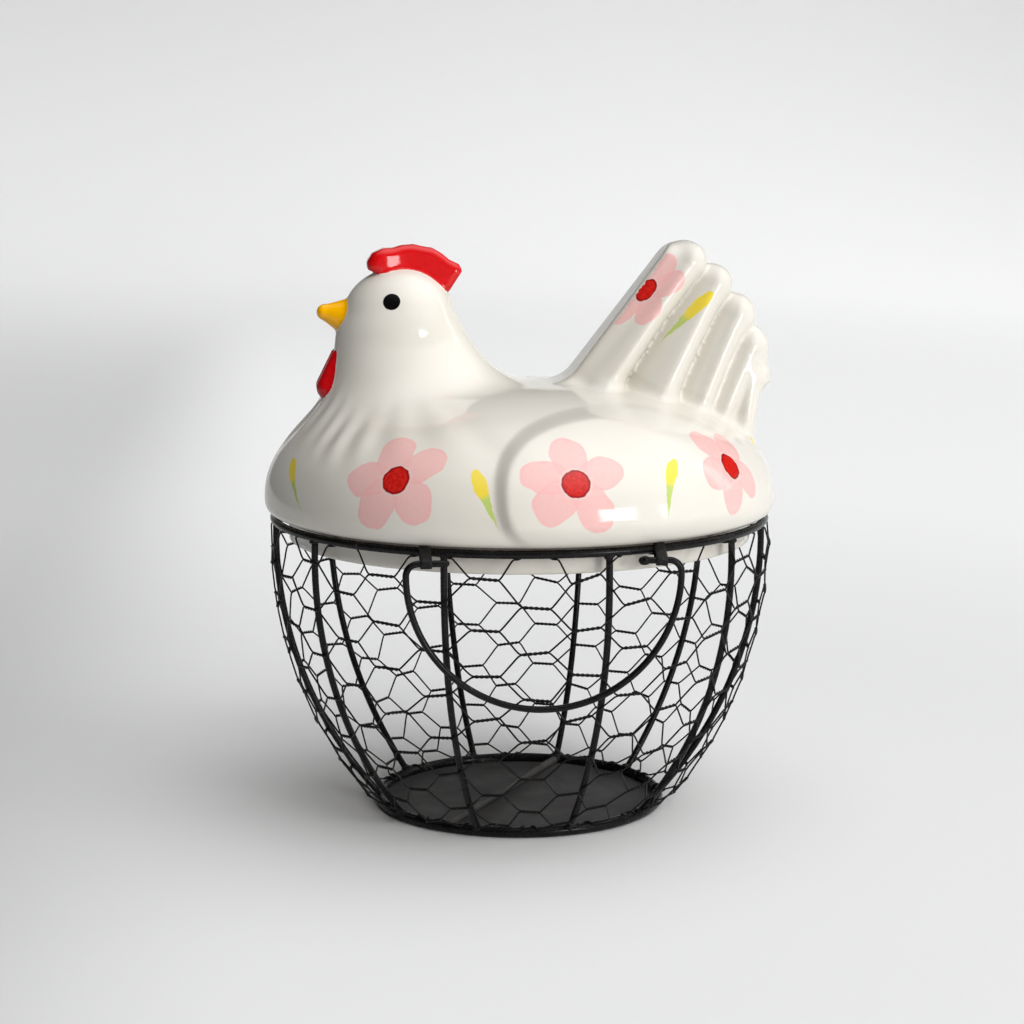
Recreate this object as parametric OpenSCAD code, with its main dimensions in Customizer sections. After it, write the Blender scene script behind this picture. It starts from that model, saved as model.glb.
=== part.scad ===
// Egg collection basket: a round wire basket covered with hexagonal netting,
// with a drop handle and a lift-off ceramic lid shaped as a sitting hen.
// Millimetres, +Z up. The origin is the centre of the base plate's underside.
// The hen looks along -X and the handle hangs on the -Y side.
// Angles called "bearing" are measured round Z from -Y towards +X, in degrees.

/* [Basket frame] */
// Outer diameter of the rim
rim_d = 190; // [186:1:194]
// Height of the rim wire's centre above the floor
rim_height = 112.5; // [110:0.5:116]
// Diameter of the rim wire
rim_wire_d = 3; // [2.6:0.1:3.2]
// Outer diameter of the base ring
base_d = 112; // [106:1:118]
// Diameter of the base ring's wire
base_wire_d = 4; // [3.6:0.1:4.4]
// Height of the widest part of the ribs
belly_height = 103.5; // [101:0.5:105]
// Distance from the axis to a rib's centre at the widest part
belly_radius = 93.1; // [92.8:0.1:93.3]
// Number of ribs, equally spaced
rib_count = 10; // [10]
// Diameter of a rib's wire
rib_wire_d = 2.5; // [2.2:0.1:2.6]
// Bearing of the first rib
rib_bearing = 14.2; // [13.7:0.1:14.7]

/* [Base] */
// Thickness of the sheet metal base plate
plate_t = 1; // [0.8:0.1:1.2]
// Diameter of the bar that stiffens the base plate
bar_d = 3; // [2.6:0.1:3.2]
// Bearing of the bar's front end
bar_front_bearing = -36; // [-40:1:-32]
// Bearing of the bar's back end
bar_back_bearing = 158; // [154:1:162]

/* [Netting] */
// Thickness of the netting's wire
net_wire = 0.8; // [0.7:0.05:0.9]
// Number of columns of twists round the basket, an even number
net_columns = 32; // [28:2:34]
// Height between neighbouring levels of twists, along the netting
net_level = 8.75; // [8.6:0.05:9]
// Length of a twist as a share of the column's pitch
net_twist_share = 0.6; // [0.5:0.05:0.7]
// Bearing of the first column
net_bearing = -2; // [-3:0.1:-1]

/* [Handle] */
// Radius of the handle's half circle, to the wire's centre
handle_r = 48; // [46:0.5:49]
// Diameter of the handle's wire
handle_wire_d = 2.4; // [2.2:0.1:2.6]
// Height of the handle's hinge line
handle_z = 109.5; // [109:0.1:110]
// Distance of the hinge line from the basket's axis
handle_offset = 91.2; // [91:0.1:92]
// Radius of the bend between the half circle and a hinge end
handle_bend = 4.3; // [4:0.1:4.5]
// Length of a straight hinge end
hinge_end = 9.7; // [8:0.1:10]
// Width of the strap clip round the rim and the hinge end
clip_w = 4; // [3:0.1:4.4]
// Thickness of the strap
clip_t = 0.5; // [0.4:0.05:0.5]
// Radial clearance of a hinge end in its clip
clip_clearance = 0.1; // [0.05:0.01:0.1]

/* [Lid] */
// Largest radius of the hen's body
hen_r = 97; // [95:0.5:98]
// Height of the hen's back above the floor
hen_back = 163.5; // [160:0.5:166]
// Wall thickness of the ceramic
wall = 4; // [3:0.5:5]
// Outer radius of the ring that locates the lid inside the rim
flange_r = 88; // [86:0.5:88.5]
// Depth of the locating ring below the lid's seat
flange_depth = 10.5; // [8:0.5:12]
// Gap between the rim and the lid's seat, filled by netting ends and clips
seat_gap = 0.8; // [0.75:0.05:1]

/* [Hidden] */

black_enamel = [0.09, 0.09, 0.1];
dark_sheet = [0.25, 0.25, 0.26];
net_black = [0.12, 0.12, 0.13];
glazed_white = [0.93, 0.92, 0.89];

// How deep one welded wire runs into the next
weld = 0.3;
// How deep the bar runs into the base plate
bar_sink = 0.02;
// Radius of the rim and of the base ring to their wires' centres
rim_r = (rim_d - rim_wire_d) / 2;
base_r = (base_d - base_wire_d) / 2;

// The ribs' centre lines are arcs, tangent to the vertical at the belly and
// aimed at the middle of the base ring's wire.
belly_in = belly_radius - base_r;
belly_up = belly_height - base_wire_d / 2;
rib_arc_r = (pow(belly_in, 2) + pow(belly_up, 2)) / (2 * belly_in);
arc_x = belly_radius - rib_arc_r;
rib_top_angle = asin((rim_height - rim_wire_d / 2 + weld - belly_height) / rib_arc_r);
ring_angle = asin(belly_up / rib_arc_r);
rib_foot_angle = ring_angle - (base_wire_d / 2 - weld) / rib_arc_r * 180 / PI;
rib_pitch = 360 / rib_count;

// The netting lies on the outside of the ribs, this far off them.
net_stand_off = 0.05;
net_arc_r = rib_arc_r + rib_wire_d / 2 + net_wire / 2 + net_stand_off;
net_pitch = 360 / net_columns;
net_half_twist = net_pitch * net_twist_share / 2;
// It starts against the rim, this share of the rim's wire below the rim's middle,
// and ends where it meets the base ring's wire.
net_rim_share = 0.45;
net_top = -(rim_height - rim_wire_d * net_rim_share - belly_height);
net_reach = sqrt(pow(base_wire_d / 2, 2) - pow(net_arc_r - rib_arc_r, 2)) - weld;
net_bottom = ring_angle * PI / 180 * net_arc_r - net_reach;
net_strands = ceil(net_bottom / net_level);
// A bend nearer to a rib than this, in degrees, is left out
least_run = 0.3;

// The handle's half circle hangs a bend's radius below the hinge line.
handle_drop_z = handle_z - handle_bend;
hinge_bend_x = handle_r - handle_bend;
// Room between a clip and the handle's bend
clip_room = 0.7;
clip_x = hinge_bend_x - clip_room - clip_w / 2;

// Heights on the lid
seat_z = rim_height + rim_wire_d / 2 + seat_gap;
widest_z = seat_z + 5.3;
// Radius of the body's lower edge, where it sits
seat_r = 95;
// Powers that flatten the body's dome: outwards and upwards
dome_out = 0.78;
dome_up = 0.9;
// Height of the wings' lower ends above the seat
wing_foot = 1.1;

smooth = 96;
wire_fn = 32;

// Facets round the lid's shapes: fine on the glazed side, coarse in the hollow
function facets(fine, inset) = inset > 0 ? fine / 2 : fine;
dome_fn = 48;
neck_fn = 24;
lump_fn = 12;

// ---- Wire frame -----------------------------------------------------------

// A closed hoop of round wire
module hoop(radius, wire_d, height)
    translate([0, 0, height])
        rotate_extrude($fn = smooth)
            translate([radius, 0])
                circle(d = wire_d, $fn = wire_fn);

// Turns what stands in the XZ plane, at +X, to a bearing
module at_bearing(bearing)
    rotate([0, 0, bearing - 90])
        children();

module top_rim()
    color(black_enamel)
        hoop(rim_r, rim_wire_d, rim_height);

module base_ring()
    color(black_enamel)
        hoop(base_r, base_wire_d, base_wire_d / 2);

module rib(index)
    color(black_enamel)
        at_bearing(rib_bearing + (index - 1) * rib_pitch)
            translate([arc_x, 0, belly_height])
                rotate([90, 0, 0])
                    rotate([0, 0, -rib_foot_angle])
                        rotate_extrude(angle = rib_foot_angle + rib_top_angle, $fn = smooth)
                            translate([rib_arc_r, 0])
                                circle(d = rib_wire_d, $fn = wire_fn);

// ---- Base -----------------------------------------------------------------

// The plate lies on the floor inside the ring and runs into its wire
module base_plate()
    color(dark_sheet)
        cylinder(r = base_r - base_wire_d / 4, h = plate_t, $fn = smooth);

module base_cross_bar() {
    reach = base_r - base_wire_d / 2 + weld;
    from = reach * [sin(bar_front_bearing), -cos(bar_front_bearing)];
    to = reach * [sin(bar_back_bearing), -cos(bar_back_bearing)];
    run = to - from;
    color(black_enamel)
        translate([from[0], from[1], plate_t + bar_d / 2 - bar_sink])
            rotate([0, 90, atan2(run[1], run[0])])
                cylinder(d = bar_d, h = norm(run), $fn = wire_fn);
}

// ---- Netting --------------------------------------------------------------
// Strand n runs round the basket and swings between levels n and n + 1. Where
// two strands share a level they run as one wire, which is a twist. A position
// on the netting is a bearing and a distance down the netting from the belly.

function on_netting(bearing, down, lift) =
    let (
        angle = down / net_arc_r * 180 / PI,
        radius = arc_x + (net_arc_r + lift) * cos(angle)
    )
    [radius * sin(bearing), -radius * cos(bearing), belly_height - (net_arc_r + lift) * sin(angle)];

// Level of a strand at a column: twists on even columns are at odd levels
function strand_level(strand, column) =
    abs(strand + column) % 2 == 1 ? strand : strand + 1;

// Distance down the netting of a strand where it is twisted at a column
function twist_down(strand, column) =
    min(net_bottom, max(net_top, strand_level(strand, column) * net_level));

// Distance down the netting of a strand at any bearing
function strand_down(strand, bearing) =
    let (
        place = (bearing - net_bearing) / net_pitch,
        column = round(place),
        off = (place - column) * net_pitch,
        next = column + sign(off),
        share = max(0, (abs(off) - net_half_twist) / (net_pitch - 2 * net_half_twist))
    )
    twist_down(strand, column) * (1 - share) + twist_down(strand, next) * share;

// Bearings at which a strand bends between two ribs, with both ribs' own
function bend_bearings(start, end) =
    let (
        first = floor((start - net_bearing) / net_pitch),
        bends = [
            for (column = [first : first + ceil((end - start) / net_pitch) + 1])
                for (side = [-1, 1])
                    net_bearing + column * net_pitch + side * net_half_twist
        ]
    )
    concat([start], [for (b = bends) if (b > start + least_run && b < end - least_run) b], [end]);

// A short straight run of square wire between two places on the netting
module wire_run(bearing_a, down_a, bearing_b, down_b) {
    half = net_wire / 2;
    corners = [[-half, -half], [half, -half], [half, half], [-half, half]];
    hull()
        polyhedron(
            points = concat(
                [for (c = corners) on_netting(bearing_a, down_a + c[0], c[1])],
                [for (c = corners) on_netting(bearing_b, down_b + c[0], c[1])]
            ),
            faces = [
                [0, 1, 2, 3], [7, 6, 5, 4], [0, 4, 5, 1],
                [1, 5, 6, 2], [2, 6, 7, 3], [3, 7, 4, 0]
            ]
        );
}

// The netting between one rib and the next
module netting_panel(index) {
    start = rib_bearing + (index - 1) * rib_pitch;
    bends = bend_bearings(start, start + rib_pitch);
    color(net_black)
        for (strand = [-1 : net_strands - 1])
            for (i = [0 : len(bends) - 2])
                wire_run(
                    bends[i], strand_down(strand, bends[i]),
                    bends[i + 1], strand_down(strand, bends[i + 1])
                );
}

// ---- Handle ---------------------------------------------------------------

// One side of the handle: a hinge end along X, its bend and a quarter circle
module handle_half() {
    translate([hinge_bend_x - hinge_end, 0, handle_z])
        rotate([0, 90, 0])
            cylinder(d = handle_wire_d, h = hinge_end, $fn = wire_fn);
    translate([hinge_bend_x, 0, handle_drop_z])
        rotate([90, 0, 0])
            rotate_extrude(angle = 90, $fn = smooth)
                translate([handle_bend, 0])
                    circle(d = handle_wire_d, $fn = wire_fn);
    translate([0, 0, handle_drop_z])
        rotate([90, 0, 0])
            rotate([0, 0, -90])
                rotate_extrude(angle = 90, $fn = smooth)
                    translate([handle_r, 0])
                        circle(d = handle_wire_d, $fn = wire_fn);
}

module drop_handle()
    color(black_enamel)
        translate([0, -handle_offset, 0]) {
            handle_half();
            mirror([1, 0, 0])
                handle_half();
        }

// Distance of the rim's centre from the XZ plane at a distance along X
function rim_y(x) = sqrt(pow(rim_r, 2) - pow(x, 2));

// A strap of sheet metal folded round the rim and one hinge end of the handle.
// The rim crosses it at a slant, so the strap takes in both places where the
// rim leaves it.
module handle_clip(side) {
    bore_r = handle_wire_d / 2 + clip_clearance;
    color(black_enamel)
        difference() {
            translate([side * clip_x - clip_w / 2, 0, 0])
                rotate([90, 0, 90])
                    linear_extrude(clip_w)
                        hull() {
                            for (x = [clip_x - clip_w / 2, clip_x + clip_w / 2])
                                translate([-rim_y(x), rim_height])
                                    circle(r = rim_wire_d / 2 + clip_t, $fn = wire_fn);
                            translate([-handle_offset, handle_z])
                                circle(r = bore_r + clip_t, $fn = wire_fn);
                        }
            translate([side * clip_x - clip_w, -handle_offset, handle_z])
                rotate([0, 90, 0])
                    cylinder(r = bore_r, h = 2 * clip_w, $fn = wire_fn);
            hoop(rim_r, rim_wire_d, rim_height);
        }
}

module handle_clip_left() handle_clip(-1);

module handle_clip_right() handle_clip(1);

// ---- Hen lid --------------------------------------------------------------
// Shapes that take an "inset", the distance inwards from the glazed surface, make
// both the outside and the hollow. The others are solid.

// Half section of the hen's body: it swells from the seat to its widest part
// and closes over in a flattened dome. The seat is as thick as the wall.
module body_section(inset) {
    radius = hen_r - inset;
    height = hen_back - widest_z - inset;
    foot = seat_r - inset;
    foot_z = seat_z + inset;
    steps = inset > 0 ? 6 : 9;
    swell = [for (i = [0 : 3]) [
        radius - (radius - foot) * pow(1 - i / 4, 2),
        foot_z + (widest_z - foot_z) * i / 4
    ]];
    dome = [for (i = [0 : steps]) let (a = 90 * i / steps) [
        radius * pow(cos(a), dome_out),
        widest_z + height * pow(sin(a), dome_up)
    ]];
    polygon(concat([[0, foot_z]], swell, dome));
}

module hen_body(inset)
    rotate_extrude($fn = facets(dome_fn, inset))
        body_section(inset);

module lump(place, r, inset)
    translate(place)
        sphere(r = r - inset, $fn = lump_fn);

// Breast, throat and head: their centres, the breast's half sizes and the radii
breast_at = [-39, 0, 150];
breast_reach = [38, 36, 16];
throat_at = [-48, 0, 175];
throat_r = 22.5;
head_at = [-44.5, 0, 186.5];
head_r = 20.3;

// A ball drawn out to three half sizes
module egg(reach, inset)
    scale([for (half = reach) half - inset])
        sphere(r = 1, $fn = facets(neck_fn, inset));

module throat(inset)
    translate(throat_at)
        sphere(r = throat_r - inset, $fn = facets(neck_fn, inset));

module hen_neck(inset) {
    hull() {
        translate(breast_at)
            egg(breast_reach, inset);
        throat(inset);
    }
    hull() {
        throat(inset);
        translate(head_at)
            sphere(r = head_r - inset, $fn = facets(neck_fn, inset));
    }
}

// Points of the comb's crest from front to back, each with its radius
comb_crest = [
    [-52.5, 209.3, 4.6], [-46.5, 209.9, 4.8], [-40, 210.4, 4.7],
    [-33.5, 208.8, 4.6], [-27, 204.2, 4.2]
];

// How far the comb's foot lies behind its crest, and below it
comb_foot = [2, 0, -8];

module hen_comb()
    for (i = [0 : len(comb_crest) - 2])
        hull() {
            for (c = [comb_crest[i], comb_crest[i + 1]]) {
                lump([c[0], 0, c[1]], c[2], 0);
                lump([c[0], 0, c[1]] + comb_foot, c[2], 0);
            }
        }

module hen_beak()
    hull() {
        lump([-74.6, 0, 188.8], 1.6, 0);
        lump([-60, 0, 188.5], 7, 0);
    }

module hen_wattle()
    hull() {
        lump([-72.4, 0, 161.8], 4.2, 0);
        lump([-68.3, 0, 173], 2.4, 0);
    }

// Wings: low swellings on the two flanks, each leaning in at the top and cut off
// just above the seat
wing_x = 28;
wing_y = 73;
wing_z = 131;
wing_lean = 35;
wing_reach = [43, 20, 24];

module hen_wings(inset)
    intersection() {
        for (side = [-1, 1])
            translate([wing_x, side * wing_y, wing_z])
                rotate([side * wing_lean, 0, 0])
                    egg(wing_reach, inset);
        translate([-hen_r, -hen_r, seat_z + wing_foot + inset])
            cube([2 * hen_r, 2 * hen_r, hen_back - seat_z]);
    }

// The tail is a fan of feathers from the back's rear end, in two leaves. Each
// feather has a root and a tip, given by their places in the XZ plane.
feather_roots = [[31, 163], [38, 156], [48, 151], [60, 149], [72, 149]];
feather_tips = [[57.5, 206], [66, 208.5], [75.5, 199], [83, 187.5], [88.5, 169]];
feather_root_r = 9;
feather_tip_r = 7.2;
// Distance of a leaf's roots and tips from the middle plane
leaf_root_y = 9;
leaf_tip_y = 5.5;
// Extra wall behind the grooves between feathers
groove_wall = 1.4;

module feather(index, side, inset) {
    root = feather_roots[index];
    tip = feather_tips[index];
    hull() {
        lump([root[0], side * leaf_root_y, root[1]], feather_root_r, inset);
        lump([tip[0], side * leaf_tip_y, tip[1]], feather_tip_r, inset);
    }
}

module hen_tail()
    for (side = [-1, 1])
        for (i = [0 : len(feather_roots) - 1])
            feather(i, side, 0);

// One smooth hollow inside the whole fan, clear of the grooves
module tail_hollow()
    hull()
        for (side = [-1, 1])
            for (i = [0 : 2 : len(feather_roots) - 1])
                feather(i, side, wall + groove_wall);

// The mouth runs out below the locating ring, and up into the body's hollow.
module hen_hollow() {
    overrun = 1;
    hen_body(wall);
    hen_neck(wall);
    hen_wings(wall);
    tail_hollow();
    translate([0, 0, seat_z - flange_depth - overrun])
        cylinder(r = flange_r - wall, h = flange_depth + wall + 2 * overrun, $fn = dome_fn);
}

module locating_ring() {
    lap = 2;
    translate([0, 0, seat_z - flange_depth])
        cylinder(r = flange_r, h = flange_depth + lap, $fn = dome_fn);
}

module hen_lid()
    color(glazed_white)
        difference() {
            union() {
                hen_body(0);
                hen_neck(0);
                hen_comb();
                hen_beak();
                hen_wattle();
                hen_wings(0);
                hen_tail();
                locating_ring();
            }
            hen_hollow();
        }

top_rim();
base_ring();
rib(1);  // rib_01
rib(2);  // rib_02
rib(3);  // rib_03
rib(4);  // rib_04
rib(5);  // rib_05
rib(6);  // rib_06
rib(7);  // rib_07
rib(8);  // rib_08
rib(9);  // rib_09
rib(10);  // rib_10
base_plate();
base_cross_bar();
netting_panel(1);  // netting_panel_01
netting_panel(2);  // netting_panel_02
netting_panel(3);  // netting_panel_03
netting_panel(4);  // netting_panel_04
netting_panel(5);  // netting_panel_05
netting_panel(6);  // netting_panel_06
netting_panel(7);  // netting_panel_07
netting_panel(8);  // netting_panel_08
netting_panel(9);  // netting_panel_09
netting_panel(10);  // netting_panel_10
drop_handle();
handle_clip_left();
handle_clip_right();
hen_lid();
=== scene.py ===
"""Looks of the egg collection basket: a black wire basket with hexagonal netting,
a drop handle and a glazed ceramic lid shaped as a sitting hen.

Lengths are in millimetres until a mesh is made, and metres from there on. A
"bearing" is an angle round Z from -Y towards +X, in degrees.
"""

import math

import bpy
import numpy as np
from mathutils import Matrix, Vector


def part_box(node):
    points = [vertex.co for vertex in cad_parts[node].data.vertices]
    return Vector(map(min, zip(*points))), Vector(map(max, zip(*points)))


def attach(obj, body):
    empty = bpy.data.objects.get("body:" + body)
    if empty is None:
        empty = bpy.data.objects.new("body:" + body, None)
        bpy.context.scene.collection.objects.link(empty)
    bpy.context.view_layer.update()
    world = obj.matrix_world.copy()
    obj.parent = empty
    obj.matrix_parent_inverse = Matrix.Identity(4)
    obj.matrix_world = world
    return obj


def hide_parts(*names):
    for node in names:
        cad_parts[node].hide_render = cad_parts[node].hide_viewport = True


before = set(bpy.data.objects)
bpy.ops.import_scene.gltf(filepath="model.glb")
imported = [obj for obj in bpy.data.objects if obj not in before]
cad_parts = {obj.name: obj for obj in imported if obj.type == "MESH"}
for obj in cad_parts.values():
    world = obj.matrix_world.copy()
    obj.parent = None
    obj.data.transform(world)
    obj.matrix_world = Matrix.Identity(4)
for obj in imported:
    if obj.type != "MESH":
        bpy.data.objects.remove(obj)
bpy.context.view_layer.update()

MM = 0.001
RNG = np.random.default_rng(11)


def box_mm(node):
    """Lowest and highest corner of a CAD node, in millimetres"""
    low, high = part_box(node)
    return np.array(low) / MM, np.array(high) / MM


# ---- Sizes that come from the CAD frame ----

rim_low, rim_high = box_mm("top_rim")
RIM_WIRE_R = (rim_high[2] - rim_low[2]) / 2
RIM_R = rim_high[0] - RIM_WIRE_R
RIM_Z = rim_low[2] + RIM_WIRE_R
ring_low, ring_high = box_mm("base_ring")
RING_WIRE_R = (ring_high[2] - ring_low[2]) / 2
RING_R = ring_high[0] - RING_WIRE_R
RING_Z = ring_low[2] + RING_WIRE_R
handle_low, handle_high = box_mm("drop_handle")
HANDLE_WIRE_R = (handle_high[1] - handle_low[1]) / 2
HANDLE_R = handle_high[0] - HANDLE_WIRE_R
HANDLE_Y = handle_low[1] + HANDLE_WIRE_R
HANDLE_Z = handle_high[2] - HANDLE_WIRE_R
PLATE_TOP = box_mm("base_plate")[1][2]
clip_low, clip_high = box_mm("handle_clip_right")
CLIP_X = (clip_low[0] + clip_high[0]) / 2
CLIP_W = clip_high[0] - clip_low[0]

RIB_WIRE_R = 1.25
RIB_COUNT = 10
RIB_BEARING = 14.2
RIB_PITCH = 360 / RIB_COUNT
BELLY_Z = 103.5
BELLY_R = 93.1

# The ribs' centre lines are arcs that are upright at the belly and aim at the
# middle of the base ring's wire.
belly_in = BELLY_R - RING_R
belly_up = BELLY_Z - RING_Z
RIB_ARC_R = (belly_in**2 + belly_up**2) / (2 * belly_in)
ARC_X = BELLY_R - RIB_ARC_R
RING_ANGLE = math.asin(belly_up / RIB_ARC_R)


# ---- Meshes ----


class Piece:
    """Collects vertices and faces in millimetres, then makes one mesh object"""

    def __init__(self):
        self.verts, self.faces, self.count = [], [], 0

    def add(self, verts, faces):
        verts = np.asarray(verts, float).reshape(-1, 3)
        self.verts.append(verts)
        self.faces.extend([tuple(int(i) + self.count for i in f) for f in faces])
        self.count += len(verts)

    def make(self, name, material):
        mesh = bpy.data.meshes.new(name)
        mesh.from_pydata((np.concatenate(self.verts) * MM).tolist(), [], self.faces)
        mesh.validate()
        mesh.polygons.foreach_set("use_smooth", [True] * len(mesh.polygons))
        mesh.materials.append(material)
        obj = bpy.data.objects.new(name, mesh)
        bpy.context.scene.collection.objects.link(obj)
        return obj

    def build(self, name, material, body, replaced=()):
        obj = self.make(name, material)
        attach(obj, body)
        if replaced:
            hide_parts(*replaced)
        return obj


def unit(vectors):
    return vectors / np.maximum(np.linalg.norm(vectors, axis=-1, keepdims=True), 1e-9)


def grid_faces(rows, columns, closed_rows=False):
    """Quads between the points of a grid. Each row is a ring, and rows follow one another."""
    row = np.arange(rows if closed_rows else rows - 1)[:, None] * columns
    column = np.arange(columns)[None, :]
    next_row, next_column = (row + columns) % (rows * columns), (column + 1) % columns
    corners = ((row, column), (row, next_column), (next_row, next_column), (next_row, column))
    return np.stack([start + along for start, along in corners], -1).reshape(-1, 4)


# A wire's rounded end: how far out each ring of its cap is, in radii
CAP_STEPS = np.array([0.35, 0.7, 0.93])


def tube(path, wire_r, sides, reference, closed=False):
    """A round wire along a path. An open one has rounded ends."""
    path = np.asarray(path, float)
    reference = np.broadcast_to(np.asarray(reference, float), path.shape)
    radius = np.full(len(path), wire_r)
    if closed:
        ahead = unit(np.roll(path, -1, 0) - np.roll(path, 1, 0))
    else:
        ahead = unit(np.gradient(path, axis=0))
        out = wire_r * CAP_STEPS[:, None]
        bulge = wire_r * np.sqrt(1 - CAP_STEPS**2)
        front, back = path[0] - ahead[0] * out[::-1], path[-1] + ahead[-1] * out
        path = np.concatenate([front, path, back])
        radius = np.concatenate([bulge[::-1], radius, bulge])
        caps = ((len(CAP_STEPS), len(CAP_STEPS)), (0, 0))
        ahead, reference = np.pad(ahead, caps, "edge"), np.pad(reference, caps, "edge")
    side = unit(np.cross(ahead, reference))
    up = np.cross(side, ahead)
    angle = np.arange(sides) * 2 * np.pi / sides
    ring = (
        side[:, None, :] * np.cos(angle)[None, :, None]
        + up[:, None, :] * np.sin(angle)[None, :, None]
    )
    verts = path[:, None, :] + ring * radius[:, None, None]
    faces = list(grid_faces(len(path), sides, closed))
    if not closed:
        last = (len(path) - 1) * sides
        faces += [range(sides)[::-1], range(last, last + sides)]
    return verts.reshape(-1, 3), faces


def blob(centre, radii, roughness=0.15, turn=0.0):
    """A small uneven lump, such as a weld bead"""
    rows, columns = 9, 14
    lat = np.linspace(-np.pi / 2, np.pi / 2, rows)[:, None]
    lon = np.arange(columns)[None, :] * 2 * np.pi / columns
    shape = np.stack(
        [np.cos(lat) * np.cos(lon), np.cos(lat) * np.sin(lon), np.sin(lat) + 0 * lon], -1
    )
    waves = RNG.normal(size=(4, 3)) * 2.2
    phase = RNG.uniform(0, 2 * np.pi, 4)
    swell = 1 + roughness * np.sin(shape @ waves.T + phase).mean(-1, keepdims=True) * 2
    points = (shape * swell * np.asarray(radii, float)).reshape(-1, 3)
    c, s = math.cos(math.radians(turn)), math.sin(math.radians(turn))
    spin = np.array([[c, -s, 0], [s, c, 0], [0, 0, 1]])
    return points @ spin.T + centre, grid_faces(rows, columns)


def polar(radius, bearing, height):
    """Points at a bearing in degrees, at a distance from the axis"""
    angle = np.radians(bearing)
    return np.stack(
        np.broadcast_arrays(radius * np.sin(angle), -radius * np.cos(angle), height), -1
    )


def smoothstep(low, high, value):
    t = np.clip((value - low) / (high - low), 0, 1)
    return t * t * (3 - 2 * t)


# ---- Materials ----


class Shader:
    """A material's node tree, built with one short call per node"""

    def __init__(self, name, shine):
        self.material = bpy.data.materials.new(name)
        self.material.use_nodes = True
        self.tree = self.material.node_tree
        self.surface = self.tree.nodes["Principled BSDF"]
        self.set("Specular IOR Level", shine)
        self.place = self.node("ShaderNodeTexCoord").outputs["Object"]

    def node(self, kind, **settings):
        made = self.tree.nodes.new(kind)
        for key, value in settings.items():
            setattr(made, key, value)
        return made

    def put(self, socket, value):
        if isinstance(value, bpy.types.NodeSocket):
            self.tree.links.new(value, socket)
        else:
            socket.default_value = value

    def math(self, operation, a, b=0.0, clamp=False):
        made = self.node("ShaderNodeMath", operation=operation, use_clamp=clamp)
        self.put(made.inputs[0], a)
        self.put(made.inputs[1], b)
        return made.outputs[0]

    def plus(self, a, b, clamp=False):
        return self.math("ADD", a, b, clamp)

    def minus(self, a, b):
        return self.math("SUBTRACT", a, b)

    def times(self, a, b, clamp=False):
        return self.math("MULTIPLY", a, b, clamp)

    def over(self, a, b, clamp=False):
        return self.math("DIVIDE", a, b, clamp)

    def raised(self, a, exponent):
        """A power of the number without its sign"""
        return self.math("POWER", self.math("ABSOLUTE", a), exponent)

    def vector(self, operation, a):
        made = self.node("ShaderNodeVectorMath", operation=operation)
        self.put(made.inputs[0], a)
        return made

    def split(self, a):
        """The X, Y and Z of a vector"""
        made = self.node("ShaderNodeSeparateXYZ")
        self.put(made.inputs[0], a)
        return made.outputs

    def step(self, value, low, high, out_low=0.0, out_high=1.0):
        """Smooth step from out_low at low to out_high at high"""
        made = self.node("ShaderNodeMapRange", interpolation_type="SMOOTHSTEP")
        for slot, number in zip(range(5), (value, low, high, out_low, out_high)):
            self.put(made.inputs[slot], number)
        return made.outputs[0]

    def mix(self, share, a, b):
        made = self.node("ShaderNodeMix", data_type="RGBA")
        self.put(made.inputs[0], share)
        for slot, colour in ((6, a), (7, b)):
            if not isinstance(colour, bpy.types.NodeSocket):
                colour = (*colour, 1)
            self.put(made.inputs[slot], colour)
        return made.outputs[2]

    def noise(self, size_mm, detail=3.0):
        """Noise whose features are about this many millimetres across"""
        made = self.node("ShaderNodeTexNoise")
        made.inputs["Scale"].default_value = 1 / (size_mm * MM)
        made.inputs["Detail"].default_value = detail
        self.put(made.inputs["Vector"], self.place)
        return made.outputs["Fac"]

    def attribute(self, name, output="Fac"):
        return self.node("ShaderNodeAttribute", attribute_name=name).outputs[output]

    def bump(self, height, depth_mm, after=None):
        made = self.node("ShaderNodeBump")
        made.inputs["Distance"].default_value = depth_mm * MM
        self.put(made.inputs["Height"], height)
        if after is not None:
            self.put(made.inputs["Normal"], after)
        return made.outputs["Normal"]

    def set(self, name, value):
        self.put(self.surface.inputs[name], value)


WORN_THROUGH = (0.075, 0.06, 0.045)


def black_paint(name, base, roughness, grain, wear, shine):
    """Black powder coat: fine orange peel, uneven gloss and small worn specks. The
    grain is its size and depth in millimetres, and less wear comes of a higher number."""
    s = Shader(name, shine)
    peel = s.noise(grain[0], 2.0)
    patches = s.noise(6.0)
    worn = s.times(s.step(s.noise(1.3, 4.0), wear, wear + 0.05), s.step(patches, 0.5, 0.62))
    lighter = tuple(c * 1.8 for c in base)
    colour = s.mix(s.step(patches, 0.35, 0.7), base, lighter)
    s.set("Base Color", s.mix(worn, colour, WORN_THROUGH))
    gloss = s.step(peel, 0.3, 0.7, roughness - 0.07, roughness + 0.08)
    s.set("Roughness", s.plus(gloss, s.times(worn, 0.3), clamp=True))
    s.set("Normal", s.bump(peel, grain[1]))
    return s.material


wire_paint = black_paint("satin_black_wire", (0.0045, 0.0043, 0.0043), 0.24, (0.9, 0.04), 0.66, 0.17)
net_paint = black_paint("black_netting_wire", (0.005, 0.0048, 0.0048), 0.36, (0.5, 0.04), 0.6, 0.16)
strap_paint = black_paint("matt_black_strap", (0.006, 0.0058, 0.0058), 0.45, (0.6, 0.08), 0.6, 0.18)
bead_paint = black_paint("black_weld_bead", (0.007, 0.0065, 0.006), 0.4, (0.5, 0.12), 0.57, 0.2)
bar_paint = black_paint("dusty_black_bar", (0.03, 0.029, 0.028), 0.6, (0.45, 0.2), 0.58, 0.5)

# ---- Rim, base ring, ribs and their welds ----


# How far a hoop strays from a true circle
HOOP_WAVE = 0.025
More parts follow.
